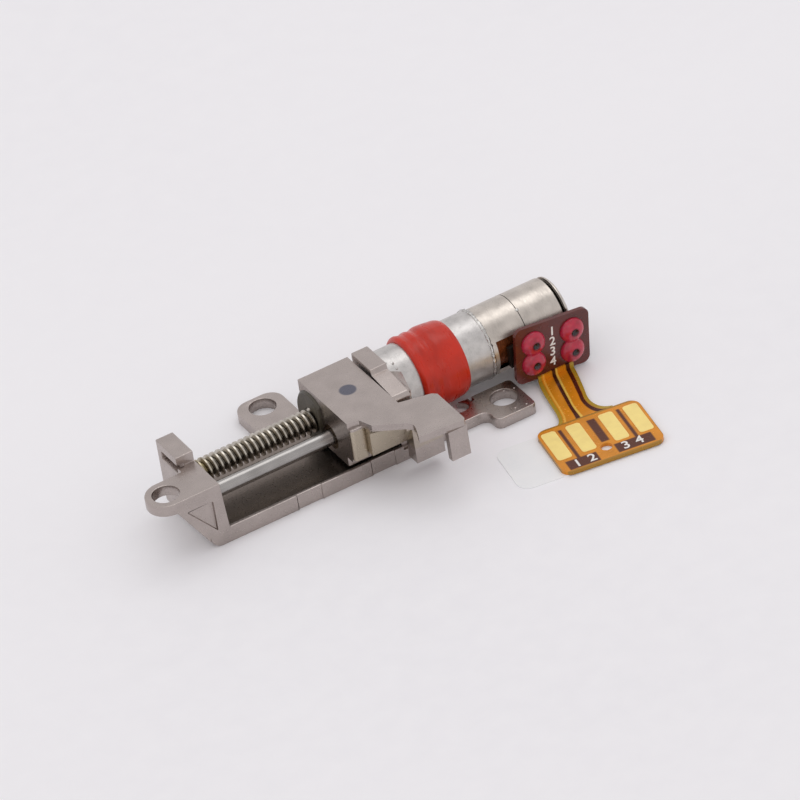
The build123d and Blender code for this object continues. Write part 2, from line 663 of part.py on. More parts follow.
blob_hole = terminal_radius + seat_gap
with BuildPart() as solder_blobs:
    for pin in terminals:
        with BuildSketch(Plane(origin=(pin.X, board_face - 0.005, pin.Z), x_dir=(1, 0, 0), z_dir=(0, 0, 1))):
            outline((blob_hole, 0), (blob_radius, 0), (blob_radius * 0.93, -blob_height * 0.45),
                    (blob_radius * 0.68, -blob_height * 0.82), (blob_hole, -blob_height))
        revolve(axis=Axis((pin.X, 0, pin.Z), (0, 1, 0)))
    for pin in terminals:
        with Locations(Plane(origin=(pin.X, board_face, pin.Z), x_dir=(1, 0, 0), z_dir=(0, 1, 0))):
            Cylinder(blob_hole, 2, mode=Mode.SUBTRACT)
finish(solder_blobs.part, "solder_blobs")

# the strip under the tail's far end, with its pads, its locating hole and its release liner
head_plane = Plane(origin=(head_x, head_y, liner_thickness),
                   x_dir=(cos(radians(head_turn)), sin(radians(head_turn)), 0), z_dir=(0, 0, 1))
head_top = liner_thickness + head_thickness
with BuildPart() as pad_strip:
    with BuildSketch(head_plane):
        RectangleRounded(head_length, head_width, strip_corner)
        with Locations(locating_hole):
            Circle(locating_hole_radius, mode=Mode.SUBTRACT)
    extrude(amount=head_thickness)
finish(pad_strip.part, "pad_strip")

# the tail turns up onto the board's face at one end and runs just above the table to the pad strip
tail_y = board_face - 0.01
tail_end = tail_start + tail_width
with BuildPart() as flex_tail:
    with BuildSketch(Plane.XY.offset(head_top - tail_thickness)):
        with BuildLine():
            near_side = Spline((tail_start, tail_y), (tail_start - 0.4, -4.6), (tail_start - 0.7, -6.0),
                               (tail_start - 1.0, -7.4), (tail_start - 1.4, -8.3), (tail_start - 2.0, -8.7))
            far_side = Spline((tail_end, tail_y), (tail_end - 0.4, -4.8), (tail_end - 0.85, -6.2),
                              (tail_end - 1.2, -7.5), (tail_end - 1.05, -8.4), (tail_end - 0.35, -9.0))
            Polyline(near_side @ 1, (tail_start - 2, -10), (tail_end - 0.35, -10), far_side @ 1)
            Line(near_side @ 0, far_side @ 0)
        make_face()
    extrude(amount=tail_thickness)
    block((tail_start, tail_end), (tail_y - tail_thickness, tail_y), (head_top - tail_thickness, tail_rise))
    with BuildSketch(head_plane):
        RectangleRounded(head_length + 2 * seat_gap, head_width + 2 * seat_gap, strip_corner)
    extrude(amount=1, mode=Mode.SUBTRACT)
    flare_end = flex_tail.solids().sort_by(Axis.Y)[-1]
finish(flare_end, "flex_tail")

with BuildPart() as contact_pads:
    with BuildSketch(head_plane.offset(head_thickness)):
        with Locations(*[(x, pad_y) for x in pad_places]):
            RectangleRounded(pad_width, pad_length, pad_corner)
    extrude(amount=pad_height)
finish(contact_pads.part, "contact_pads")

with BuildPart() as release_liner:
    with BuildSketch(head_plane.offset(-liner_thickness)):
        with Locations((-liner_reach / 2, 0)):
            RectangleRounded(head_length + liner_reach, head_width - 0.3, 0.9)
    extrude(amount=liner_thickness)
finish(release_liner.part, "release_liner")
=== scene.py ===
"""Looks of a micro linear actuator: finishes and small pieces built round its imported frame."""
from math import cos, pi, radians, sin

import bpy
from bpy.props import FloatProperty, FloatVectorProperty, IntProperty, PointerProperty
from mathutils import Matrix, Vector


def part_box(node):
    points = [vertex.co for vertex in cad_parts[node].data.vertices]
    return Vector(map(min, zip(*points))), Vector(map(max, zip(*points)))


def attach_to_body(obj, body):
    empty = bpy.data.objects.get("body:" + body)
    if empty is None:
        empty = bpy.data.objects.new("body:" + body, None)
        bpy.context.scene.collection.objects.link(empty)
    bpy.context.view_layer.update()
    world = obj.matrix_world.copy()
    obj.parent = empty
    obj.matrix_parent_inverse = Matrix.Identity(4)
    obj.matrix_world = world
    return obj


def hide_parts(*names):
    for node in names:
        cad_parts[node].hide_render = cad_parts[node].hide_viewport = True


bl_info = {
    "name": "Micro Linear Actuator",
    "version": (1, 0, 0),
    "blender": (4, 5, 0),
    "location": "View3D > Sidebar > Actuator",
    "description": "Finishes and small pieces of a micro linear stepper actuator",
    "category": "Object",
}

MM = 0.001

# bracket and slider
CHANNEL_FRONT = -4.4 * MM
CHANNEL_BACK = 1.4 * MM
FLOOR_LOW, FLOOR_HIGH = 0.5 * MM, 1.0 * MM
FLOOR_SHADE_SHORT = 5 * MM               # how far before the screw's rear end the floor's painted shade stops
GATE_MARK = (2.04 * MM, -1.7 * MM)
GATE_RADIUS = 0.6 * MM
# where a painted warm reflection tints the slider's front faces khaki
KHAKI_FRONT, KHAKI_BACK = -6.7 * MM, -5.2 * MM
KHAKI_FOOT = 2.2 * MM
KHAKI_BELOW_TOP = 0.55 * MM
EAR_TOP = 0.85 * MM
EAR_PIPS = ((23.2, -3.46), (22.5, -3.27), (22.9, -5.6), (22.08, -5.48))    # x and y, mm
PIP_SIZE = (0.09 * MM, 0.09 * MM, 0.05 * MM)

# screw
THREAD_ROOT = 0.28 * MM          # depth below the crest where the roots' painted shade is full
THREAD_FLANK = 0.19 * MM         # depth below the crest where the roots' painted shade ends
GREASE_FULL, GREASE_END = 0.4 * MM, 1.6 * MM

# gearbox and motor
CRINKLE = 0.24 * MM              # size and height of the weld bead's wrinkles
SPATTER = ((0.6, 66, 0.09), (0.65, 55.5, 0.08), (0.2, 72, 0.07))    # mm behind the front end, angle, radius
SEAM_WELDS = (61.5, 151.5, 241.5)
SEAM_WELD_SIZE = (0.13 * MM, 0.13 * MM, 0.06 * MM)
SEALANT_LOW, SEALANT_HIGH = -0.1 * MM, 0.29 * MM    # from the rear can's end

# solder board
BOARD_TILT = radians(-6)
TERMINAL_PITCH_X = 3.05 * MM
TERMINAL_PITCH_Z = 1.6 * MM
LACQUER_DEPTH = 0.55 * MM
DENT_OUT = 0.68 * MM             # from the board's face to the middle of the ball that cuts a dent
DENT_RADIUS = 0.32 * MM
# painted shade in the dent over each terminal: how far out its middle sits, and its radius
DENT_SHADE_OUT = 0.45 * MM
DENT_SHADE_RADIUS = 0.3 * MM
BOARD_NUMBER = 0.95 * MM
BOARD_NUMBER_TOP, BOARD_NUMBER_STEP = 1.2, 0.8      # mm above the board's middle, and between rows

# tail and strip
TAIL_WIDTH = 2.8 * MM
TAIL_RUN = 5.7 * MM              # from the board to the strip
TAIL_SIDE = 1.5 * MM             # from the board's middle to the tail's nearer side
TAIL_SWAY = 2.5 * MM             # how far a side moves across where its curve reads 1
TAIL_NEAR = ((0, 0), (0.23, 0.16), (0.47, 0.28), (0.72, 0.4), (0.88, 0.56), (1, 0.9))
TAIL_FAR = ((0, 0), (0.26, 0.16), (0.51, 0.34), (0.74, 0.48), (0.89, 0.42), (1, 0.14))
# the f2b84a stripe from 0.13 to 0.18 is a painted highlight on the first copper track
TAIL_STRIPES = ((-0.1, 0.1, "b3942c"), (0.4, 0.5, "4a1f0c"), (0.5, 0.55, "f0c95a"), (0.13, 0.18, "f2b84a"),
                (0.79, 0.9, "4a1f0c"), (0.91, 1.1, "b3942c"))    # from, to, as shares of the width
STRIP_TURN = radians(-9)
STRIP_HALF_X, STRIP_HALF_Y = 3.72 * MM, 2.55 * MM
STRIP_PATCHES = ((-3.2, -0.95, -2.5, -1.45), (0.4, 3.1, -2.4, -1.35), (-2.3, -2.05, -1.5, 2.1),
                 (2.0, 2.25, -1.4, 2.2), (-0.2, 0.4, -0.7, 2.1))    # left, right, low, high, mm
STRIP_NUMBER = 1.15 * MM
STRIP_NUMBER_PLACES = ((-2.48, -2.0), (-1.4, -1.95), (1.11, -1.86), (2.12, -1.8))    # along and up, mm
INK_THICKNESS = 0.004 * MM
INK_SPREAD = 0.018 * MM

# stage
CAMERA_AIM = Vector((15.525, -1.542, 2.5)) * MM
FLOOR_SIZE = 3
DAYLIGHT = 0.84
SOFTBOXES = (("key_softbox", (0.19, 0.13, 0.50), (0.30, 0.26), 0.30, "ffffff"),
             ("top_softbox", (-0.22, 0.10, 0.42), (0.20, 0.30), 0.14, "fdfaf6"),
             ("front_fill", (-0.05, -0.55, 0.30), (0.35, 0.20), 0.12, "fff3e2"))

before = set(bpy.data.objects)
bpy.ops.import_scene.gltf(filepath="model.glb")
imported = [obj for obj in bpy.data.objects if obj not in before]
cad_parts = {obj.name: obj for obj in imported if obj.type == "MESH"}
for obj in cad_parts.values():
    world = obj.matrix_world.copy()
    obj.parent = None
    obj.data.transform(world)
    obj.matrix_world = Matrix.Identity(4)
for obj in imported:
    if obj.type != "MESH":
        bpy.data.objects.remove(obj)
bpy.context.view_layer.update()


# ---- places read from the frame ---------------------------------------------------------------
def middle(node):
    """The middle of a CAD node's box."""
    low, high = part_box(node)
    return (low + high) / 2


def terminal_places():
    """The four terminals on the board's face, in two columns."""
    centre = middle("terminal_pins")
    centre.y = BOARD_FACE_Y
    across = BOARD_ALONG * TERMINAL_PITCH_X / 2
    up = BOARD_UP * TERMINAL_PITCH_Z / 2
    return [centre + column * across + row * up for column in (-1, 1) for row in (-1, 1)]


AXIS_Z = middle("gearbox_housing").z
GEARBOX_LOW, GEARBOX_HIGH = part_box("gearbox_housing")
CAN_LOW, CAN_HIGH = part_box("rear_stator_can")
BOARD_FACE_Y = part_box("solder_board")[0].y
SLIDER_LOW, SLIDER_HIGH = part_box("slider")
STRIP_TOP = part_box("pad_strip")[1].z
BOARD_ALONG = Vector((cos(BOARD_TILT), 0, sin(BOARD_TILT)))
BOARD_UP = Vector((-sin(BOARD_TILT), 0, cos(BOARD_TILT)))
STRIP_ALONG = Vector((cos(STRIP_TURN), sin(STRIP_TURN), 0))
STRIP_UP = Vector((-sin(STRIP_TURN), cos(STRIP_TURN), 0))


def linear(colour):
    """An sRGB hex colour as linear red, green, blue and alpha."""
    parts = [int(colour[i:i + 2], 16) / 255 for i in (0, 2, 4)]
    return [c / 12.92 if c <= 0.04045 else ((c + 0.055) / 1.055) ** 2.4 for c in parts] + [1.0]


def colour_property(name, description, colour):
    """A colour that a user can change."""
    return FloatVectorProperty(name=name, description=description, subtype="COLOR", size=4, min=0, max=1,
                               default=linear(colour))


# ---- sizes and colours that a user may change --------------------------------------------------
class ActuatorSizes(bpy.types.PropertyGroup):
    edge: FloatProperty(name="Tumbled edge", description="Break of the bracket's and slider's edges",
                        default=0.07 * MM, unit="LENGTH", precision=5)
    bead: FloatProperty(name="Weld bead", description="Radius of the laser weld round the gearbox's end",
                        default=0.13 * MM, unit="LENGTH", precision=5)
    lacquer: FloatProperty(name="Lacquer drop", description="Radius of each drop of lacquer over a terminal",
                           default=0.93 * MM, unit="LENGTH", precision=5)
    ring_steps: IntProperty(name="Ring steps", description="Faces round the weld bead", default=128, min=24)


class ActuatorColours(bpy.types.PropertyGroup):
    nickel: colour_property("Nickel", "Plated steel of the bracket and slider", "b4aaa5")
    barrel: colour_property("Barrel", "Satin steel of the gearbox", "c9c6c3")
    can: colour_property("Can", "Brushed steel of the motor", "ccc4bb")
    silicone: colour_property("Silicone", "Damping sleeve", "cb2c14")
    lacquer: colour_property("Lacquer", "Lacquer over the terminals", "b81f3e")
    film: colour_property("Film", "Amber film over copper", "d98a14")
    gold: colour_property("Gold", "Contact pads", "ffe38c")


# ---- shader nodes ------------------------------------------------------------------------------
def node(tree, kind, inputs=None, **settings):
    """Add a shader node with its settings, its input values and its links."""
    made = tree.nodes.new("ShaderNode" + kind)
    for name, value in settings.items():
        setattr(made, name, value)
    for name, value in (inputs or {}).items():
        if isinstance(value, bpy.types.NodeSocket):
            tree.links.new(value, made.inputs[name])
        else:
            made.inputs[name].default_value = value
    return made


def ramp(tree, value, low, high, start=0.0, end=1.0):
    """Run from start to end while value runs from low to high, and stay there beyond."""
    return node(tree, "MapRange", {"Value": value, "From Min": low, "From Max": high, "To Min": start,
                                   "To Max": end}).outputs["Result"]


def times(tree, first, second):
    """The product of two values, which is 1 where both are."""
    return node(tree, "Math", {0: first, 1: second}, operation="MULTIPLY").outputs["Value"]


def surface(name, colours, patch, roughness, grain, depth, stretch=(1, 1, 1), **sockets):
    """A finish whose colour and gloss drift in patches and whose skin has a fine grain.

    patch and grain are sizes in mm, depth is the grain's height in mm, and stretch packs the grain
    closer along each axis. sockets are the shader's own values.
    """
    material = bpy.data.materials.new(name)
    material.use_nodes = True
    tree = material.node_tree
    shader = tree.nodes["Principled BSDF"]
    for socket, value in sockets.items():
        shader.inputs[socket.replace("_", " ")].default_value = value
    place = node(tree, "TexCoord").outputs["Object"]
    drift = node(tree, "TexNoise", {"Vector": place, "Scale": 1 / (patch * MM), "Detail": 2}).outputs["Fac"]
    spread = ramp(tree, drift, 0.3, 0.7)
    drawn = node(tree, "Mapping", {"Vector": place, "Scale": stretch}).outputs["Vector"]
    skin = node(tree, "TexNoise", {"Vector": drawn, "Scale": 1 / (grain * MM), "Detail": 3}).outputs["Fac"]
    blend = times(tree, spread, skin)
    colour = node(tree, "Mix", {0: blend, 6: colours[0], 7: colours[1]}, data_type="RGBA").outputs[2]
    tree.links.new(colour, shader.inputs["Base Color"])
    tree.links.new(ramp(tree, skin, 0.25, 0.75, *roughness), shader.inputs["Roughness"])
    bump = node(tree, "Bump", {"Height": skin, "Distance": depth * MM, "Strength": 1.0}).outputs["Normal"]
    tree.links.new(bump, shader.inputs["Normal"])
    return material


def place_of(tree):
    """The piece's own coordinates in a material's tree, split along the axes."""
    return node(tree, "SeparateXYZ", {"Vector": node(tree, "TexCoord").outputs["Object"]}).outputs


def tint(tree, factor, colour):
    """Lay another colour over the base where factor is 1."""
    base = tree.nodes["Principled BSDF"].inputs["Base Color"]
    under = base.links[0].from_socket
    over = node(tree, "Mix", {0: factor, 6: under, 7: colour}, data_type="RGBA").outputs[2]
    tree.links.new(over, base)


def spot(tree, centre, radius, soft):
    """1 within radius of a point, falling to 0 over soft; all in metres."""
    away = node(tree, "VectorMath", {0: node(tree, "TexCoord").outputs["Object"], 1: centre},
                operation="DISTANCE").outputs["Value"]
    return ramp(tree, away, radius - soft, radius + soft, 1.0, 0.0)


def step_between(tree, value, low, high, soft):
    """1 where value lies between low and high, falling to 0 over soft at each end."""
    rise = ramp(tree, value, low - soft, low + soft)
    fall = ramp(tree, value, high - soft, high + soft, 1.0, 0.0)
    return times(tree, rise, fall)


def smooth_curve(tree, value, points):
    """A smooth curve through points whose coordinates run from 0 to 1."""
    made = node(tree, "FloatCurve", {"Value": value})
    line = made.mapping.curves[0]
    line.points[0].location, line.points[1].location = points[0], points[-1]
    for point in points[1:-1]:
        line.points.new(*point)
    made.mapping.update()
    return made.outputs["Value"]


# ---- finishes ----------------------------------------------------------------------------------
def shade(colour, share):
    """A colour made darker or lighter."""
    return [min(1.0, c * share) for c in colour[:3]] + [1.0]


def nickel_plate(colours):
    """Metal-injection-moulded steel, tumbled and nickel plated: satin, with a faint orange peel."""
    nickel = list(colours.nickel)
    return surface("tumbled_nickel_plate", (shade(nickel, 1.05), shade(nickel, 0.8)), patch=1.4,
                   roughness=(0.24, 0.38), grain=0.12, depth=0.0035, Metallic=1.0)


def bracket_plate(colours):
    """The same plated steel, with painted shade and a painted reflection of the rod and the screw darkening
    the channel floor under them.
    """
    material = nickel_plate(colours)
    material.name = "tumbled_nickel_bracket"
    tree = material.node_tree
    x, y, z = place_of(tree)
    under_rod_and_screw = times(tree, step_between(tree, x, 0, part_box("lead_screw")[1].x - FLOOR_SHADE_SHORT, 0.3 * MM),
                step_between(tree, y, CHANNEL_FRONT, CHANNEL_BACK, 0.1 * MM))
    inside = times(tree, under_rod_and_screw, step_between(tree, z, FLOOR_LOW, FLOOR_HIGH, 0.05 * MM))
    # painted shade and reflection of the rod and screw on the channel floor
    tint(tree, inside, linear("857b74"))
    return material


def slider_plate(colours):
    """The same plated steel, with a grey gate mark on top and a painted warm reflection tinting the front
    faces khaki.
    """
    material = nickel_plate(colours)
    material.name = "tumbled_nickel_slider"
    centre = Vector((SLIDER_LOW.x + GATE_MARK[0], GATE_MARK[1], SLIDER_HIGH.z))
    tree = material.node_tree
    _, y, z = place_of(tree)
    front_reflection = times(tree, step_between(tree, y, KHAKI_FRONT, KHAKI_BACK, 0.1 * MM),
                       step_between(tree, z, KHAKI_FOOT, SLIDER_HIGH.z - KHAKI_BELOW_TOP, 0.04 * MM))
    # painted warm reflection on the front faces
    tint(tree, front_reflection, linear("b7ac9b"))
    tint(tree, spot(tree, centre, GATE_RADIUS, 0.06 * MM), linear("6e6e78"))
    return material


def ground_steel():
    """Centreless-ground bearing steel: bright, with the faintest drawn lines."""
    return surface("ground_steel", (linear("adaaa7"), linear("8b8885")), patch=2.0, roughness=(0.2, 0.3),
                   grain=0.05, depth=0.0006, stretch=(0.05, 1, 1), Metallic=1.0)


def rolled_thread():
    """Stainless steel with a rolled thread: bright crests, painted shade darkening the roots, grease in
    front.
    """
    material = surface("rolled_thread_steel", (linear("cbc5ba"), linear("877f73")), patch=0.8,
                       roughness=(0.2, 0.36), grain=0.05, depth=0.001, stretch=(3, 1, 1), Metallic=1.0)
    tree = material.node_tree
    x, y, z = place_of(tree)
    off_axis = node(tree, "CombineXYZ", {"Y": y, "Z": z}).outputs["Vector"]
    away = node(tree, "VectorMath", {0: off_axis, 1: (0, 0, AXIS_Z)}, operation="DISTANCE").outputs["Value"]
    radius = (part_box("lead_screw")[1].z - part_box("lead_screw")[0].z) / 2
    root = ramp(tree, away, radius - THREAD_ROOT, radius - THREAD_FLANK, 1.0, 0.0)
    # painted shade darkening the thread roots
    tint(tree, root, linear("453f36"))
    grease = ramp(tree, x, GREASE_FULL, GREASE_END, 0.6, 0.0)
    tint(tree, grease, linear("8f7a33"))
    return material


def satin_barrel(colours):
    """Stainless tube, electropolished after grinding: cool, satin, with a frosted sparkle."""
    barrel = list(colours.barrel)
    return surface("satin_stainless", (shade(barrel, 1.1), shade(barrel, 0.7)), patch=0.5,
                   roughness=(0.3, 0.5), grain=0.07, depth=0.005, stretch=(1, 0.6, 0.6), Metallic=1.0)


def brushed_can(colours):
    """Deep-drawn stainless cup, brushed round its axis: warm, with short scratches."""
    can = list(colours.can)
    return surface("brushed_stainless", (shade(can, 1.08), shade(can, 0.62)), patch=1.0,
                   roughness=(0.24, 0.44), grain=0.12, depth=0.003, stretch=(2.2, 0.35, 0.35),
                   Metallic=1.0)


def end_cap(colours):
    """The same steel on the end plate, with black sealant in the groove before its rim."""
    material = brushed_can(colours)
    material.name = "brushed_end_cap"
    tree = material.node_tree
    x = place_of(tree)["X"]
    groove = step_between(tree, x, CAN_HIGH.x + SEALANT_LOW, CAN_HIGH.x + SEALANT_HIGH, 0.005 * MM)
    tint(tree, groove, linear("14120f"))
    return material


def weld_metal():
    """Laser weld: a bright, crinkled skin of remelted steel."""
    return surface("laser_weld", (linear("dcdad6"), linear("77736d")), patch=0.2, roughness=(0.12, 0.3),
                   grain=0.09, depth=0.02, Metallic=1.0)


def dull_steel():
    """Sintered steel of the gear train: grey, porous and slightly oily."""
    return surface("sintered_steel", (linear("8f8d8a"), linear("4e4c49")), patch=0.3,
                   roughness=(0.35, 0.55), grain=0.04, depth=0.004, Metallic=1.0)


def turned_brass():
    """Free-cutting brass, turned: yellow, with fine lathe rings."""
    return surface("turned_brass", (linear("c9a861"), linear("8a6d33")), patch=0.5, roughness=(0.22, 0.4),
                   grain=0.05, depth=0.002, stretch=(3, 0.5, 0.5), Metallic=1.0)


def sintered_bronze():
    """Oil-soaked sintered bronze: dark brown, porous and wet-looking."""
    return surface("sintered_bronze", (linear("6f5a40"), linear("3a2d1e")), patch=0.3,
                   roughness=(0.3, 0.45), grain=0.04, depth=0.004, Metallic=1.0)


def silicone_rubber(colours):
    """Moulded silicone rubber: deep orange red, wet-looking, lit a little from inside."""
    red = list(colours.silicone)
    return surface("moulded_silicone", (shade(red, 1.0), shade(red, 0.6)), patch=1.6,
                   roughness=(0.24, 0.36), grain=0.5, depth=0.006, stretch=(1.6, 0.4, 0.4), Metallic=0.0,
                   Subsurface_Weight=0.15, Subsurface_Scale=0.4 * MM, Coat_Weight=0.1, Coat_Roughness=0.2,
                   Specular_IOR_Level=0.35)


def lacquer(colours):
    """Magenta conformal lacquer over solder: thick and glossy, with painted shade darkening the dent over
    each pin.
    """
    magenta = list(colours.lacquer)
    material = surface("conformal_lacquer", (shade(magenta, 1.1), shade(magenta, 0.45)), patch=0.5,
                       roughness=(0.1, 0.2), grain=0.3, depth=0.006, Metallic=0.0, Subsurface_Weight=0.25,
                       Subsurface_Scale=0.3 * MM, Coat_Weight=0.3, Coat_Roughness=0.08)
    for place in terminal_places():
        dent_shade = spot(material.node_tree, place - Vector((0, DENT_SHADE_OUT, 0)), DENT_SHADE_RADIUS, 0.1 * MM)
        # painted shade in the dent over the pin
        tint(material.node_tree, dent_shade, linear("160206"))
    return material


def dark_film():
    """Dark red-brown coverlay over copper, stiffened: a glossy film."""
    return surface("coverlay_film", (linear("64231b"), linear("331310")), patch=1.3,
                   roughness=(0.16, 0.3), grain=0.2, depth=0.003, Metallic=0.0, Coat_Weight=0.15,
                   Coat_Roughness=0.12)


def amber_film(colours):
    """Polyimide film over copper foil: clear amber and glossy."""
    amber = list(colours.film)
    return surface("polyimide_over_copper", (shade(amber, 1.12), shade(amber, 0.72)), patch=1.1,
                   roughness=(0.18, 0.3), grain=0.25, depth=0.002, Metallic=0.2, Coat_Weight=0.1,
                   Coat_Roughness=0.1)


def tail_film(colours):
    """The same film on the tail: broad copper tracks, with dark gaps and a painted highlight line that follow
    its curved sides.
    """
    material = amber_film(colours)
    material.name = "polyimide_tail"
    tree = material.node_tree
    x, y, _ = place_of(tree)
    root_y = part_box("flex_tail")[1].y
    root_x = middle("solder_board").x - TAIL_SIDE
    along = ramp(tree, y, root_y, root_y - TAIL_RUN)
    sides = []
    for points, side_x in ((TAIL_NEAR, root_x), (TAIL_FAR, root_x + TAIL_WIDTH)):
        sway = smooth_curve(tree, along, points)
        side = node(tree, "Math", {0: sway, 1: -TAIL_SWAY, 2: side_x}, operation="MULTIPLY_ADD")
        sides.append(side.outputs["Value"])
    share = ramp(tree, x, *sides)
    # the stripes, one of them a painted highlight
    for low, high, colour in TAIL_STRIPES:
        tint(tree, step_between(tree, share, low, high, 0.012), linear(colour))
    return material


def strip_film(colours):
    """The same film on the strip, dark between the pads and behind the numbers, with no copper at its rim."""
    material = amber_film(colours)
    material.name = "polyimide_strip"
    tree = material.node_tree
    place = node(tree, "TexCoord").outputs["Object"]
    turned = node(tree, "Mapping", {"Vector": place, "Location": middle("pad_strip"),
                                    "Rotation": (0, 0, STRIP_TURN)}, vector_type="TEXTURE").outputs["Vector"]
    x, y, _ = node(tree, "SeparateXYZ", {"Vector": turned}).outputs
    for left, right, low, high in STRIP_PATCHES:
        inside = times(tree, step_between(tree, x, left * MM, right * MM, 0.05 * MM),
                       step_between(tree, y, low * MM, high * MM, 0.05 * MM))
        tint(tree, inside, linear("572508"))
    copper = times(tree, step_between(tree, x, -STRIP_HALF_X, STRIP_HALF_X, 0.03 * MM),
                   step_between(tree, y, -STRIP_HALF_Y, STRIP_HALF_Y, 0.03 * MM))
    outside = node(tree, "Math", {0: 1.0, 1: copper}, operation="SUBTRACT").outputs["Value"]
    tint(tree, outside, linear("a8791f"))
    return material


def gold_plate(colours):
    """Electroless nickel and immersion gold: pale, soft yellow with a matt grain."""
    gold = list(colours.gold)
    return surface("immersion_gold", (shade(gold, 1.04), shade(gold, 0.86)), patch=0.6,
                   roughness=(0.34, 0.5), grain=0.06, depth=0.002, Metallic=0.1)


def frosted_liner():
    """Silicone-coated release film: frosted, and slightly see-through."""
    return surface("release_film", (linear("ffffff"), linear("f6f8fa")), patch=2.0, roughness=(0.3, 0.45),
                   grain=0.2, depth=0.002, Metallic=0.0, Alpha=0.88, IOR=1.45)


def black_polymer():
    """Moulded liquid-crystal polymer: black-brown and slightly shiny."""
    return surface("moulded_polymer", (linear("2a211b"), linear("120d0a")), patch=0.6,
                   roughness=(0.3, 0.5), grain=0.08, depth=0.004, Metallic=0.0)


def dark_acetal():
    """Moulded acetal nut, stained by oil: grey brown, waxy."""
    return surface("moulded_acetal", (linear("4d473b"), linear("2b271f")), patch=0.6,
                   roughness=(0.35, 0.5), grain=0.08, depth=0.004, Metallic=0.0)


def copper_winding():
    """Enamelled copper wire, wound: orange brown, with a fine ridge for each turn."""
    return surface("enamelled_copper", (linear("8f4a20"), linear("3d1c0c")), patch=0.5,
                   roughness=(0.2, 0.35), grain=0.06, depth=0.02, stretch=(2.5, 0.15, 0.15), Metallic=0.7)


def ferrite():
    """Bonded ferrite magnet: dark grey with pale specks."""
    return surface("bonded_ferrite", (linear("33343a"), linear("191a1d")), patch=0.3,
                   roughness=(0.5, 0.7), grain=0.05, depth=0.004, Metallic=0.2)


def print_ink():
    """White screen-printed ink: thin and slightly rough."""
    return surface("screen_ink", (linear("f1efeb"), linear("d8d3cb")), patch=0.2, roughness=(0.5, 0.7),
                   grain=0.05, depth=0.002, Metallic=0.0)


# ---- modelling ---------------------------------------------------------------------------------
def only(*pieces):
    """Select these pieces alone, the first one active."""
    bpy.ops.object.select_all(action="DESELECT")
    for piece in pieces:
        piece.select_set(True)
    bpy.context.view_layer.objects.active = pieces[0]


def apply_modifier(piece, kind, **settings):
    """Add a modifier with its settings and apply it."""
    only(piece)
    modifier = piece.modifiers.new(kind.title(), kind)
    for name, value in settings.items():
        setattr(modifier, name, value)
    bpy.ops.object.modifier_apply(modifier=modifier.name)


def attach(piece, name, body, material, stands_for=()):
    """Name a finished piece, put its place in its mesh, paint it, and let it ride on a body."""
    only(piece)
    bpy.ops.object.transform_apply(location=True, rotation=True, scale=True)
    piece.name = name
    piece.data.name = name
    piece.data.materials.clear()
    piece.data.materials.append(material)
    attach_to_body(piece, body)
    if stands_for:
        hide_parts(*stands_for)
    return piece


def paint(material, *nodes):
    """Give CAD nodes their finish."""
    for name in nodes:
        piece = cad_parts[name]
        piece.data.materials.clear()
        piece.data.materials.append(material)


def merged_copy(name):
    """A loose copy of a CAD node with its doubled corners merged and its flat faces whole."""
    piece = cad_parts[name].copy()
    piece.data = piece.data.copy()
    piece.parent = None
    for key in list(piece.keys()):
        del piece[key]
    bpy.context.scene.collection.objects.link(piece)
    only(piece)
    if piece.data.has_custom_normals:
        bpy.ops.mesh.customdata_custom_splitnormals_clear()
    bpy.ops.object.mode_set(mode="EDIT")
    bpy.ops.mesh.select_all(action="SELECT")
    bpy.ops.mesh.remove_doubles(threshold=0.0005 * MM)
    bpy.ops.mesh.dissolve_limited(angle_limit=radians(1))
    bpy.ops.object.mode_set(mode="OBJECT")
    return piece


def broken_edges(name, width, clamp):
    """A copy of a CAD node with its sharp edges rounded, as tumbling leaves them."""
    piece = merged_copy(name)
    apply_modifier(piece, "BEVEL", width=width, segments=2, limit_method="ANGLE", angle_limit=radians(30),
                   use_clamp_overlap=clamp, harden_normals=False, miter_outer="MITER_ARC")
    bpy.ops.object.shade_smooth_by_angle(angle=radians(35))
    apply_modifier(piece, "WEIGHTED_NORMAL", weight=100, keep_sharp=True)
    return piece


def joined(pieces):
    """Several pieces as one, shaded smooth."""
    only(*pieces)
    bpy.ops.object.join()
    bpy.ops.object.shade_smooth()
    return bpy.context.object


def ball(place, size, turn=(0, 0, 0)):
    """A sphere stretched to a size along each axis."""
    bpy.ops.object.select_all(action="DESELECT")
    bpy.ops.mesh.primitive_uv_sphere_add(segments=32, ring_count=16, radius=1, location=place, rotation=turn,
                                         scale=size)
    return bpy.context.object


def on_barrel(x, angle, radius):
    """A place on the motor's round wall: angle is from straight out to -Y, up over the top."""
    return Vector((x, -radius * cos(radians(angle)), AXIS_Z + radius * sin(radians(angle))))


def numeral(text, height, place, along, up):
    """A flat printed number that reads along one direction, its top towards another."""
    bpy.ops.object.select_all(action="DESELECT")
    bpy.ops.object.text_add()
    piece = bpy.context.object
    piece.data.body = text
    piece.data.size = height
    piece.data.extrude = INK_THICKNESS
    piece.data.offset = INK_SPREAD
    piece.data.align_x = "CENTER"
    piece.data.align_y = "CENTER"
    only(piece)
    bpy.ops.object.convert(target="MESH")
    turn = Matrix((along, up, along.cross(up))).transposed().to_4x4()
    piece.matrix_world = Matrix.Translation(place) @ turn
    return piece


# ---- pieces ------------------------------------------------------------------------------------
class ACTUATOR_OT_metalwork(bpy.types.Operator):
    """Finish the bracket and the slider, with tumbled edges and the side ear's raised dots"""
    bl_idname = "actuator.metalwork"
    bl_label = "Bracket and slider"

    def execute(self, context):
        sizes = context.scene.actuator_sizes
        colours = context.scene.actuator_colours
        bracket = broken_edges("bracket", sizes.edge, False)
        attach(bracket, "bracket_tumbled", "frame", bracket_plate(colours), ["bracket"])
        pips = [ball((x * MM, y * MM, EAR_TOP), PIP_SIZE) for x, y in EAR_PIPS]
        attach(joined(pips), "ear_pips", "frame", nickel_plate(colours))
        slider = broken_edges("slider", sizes.edge, True)
        attach(slider, "slider_tumbled", "slider", slider_plate(colours), ["slider"])
        return {"FINISHED"}


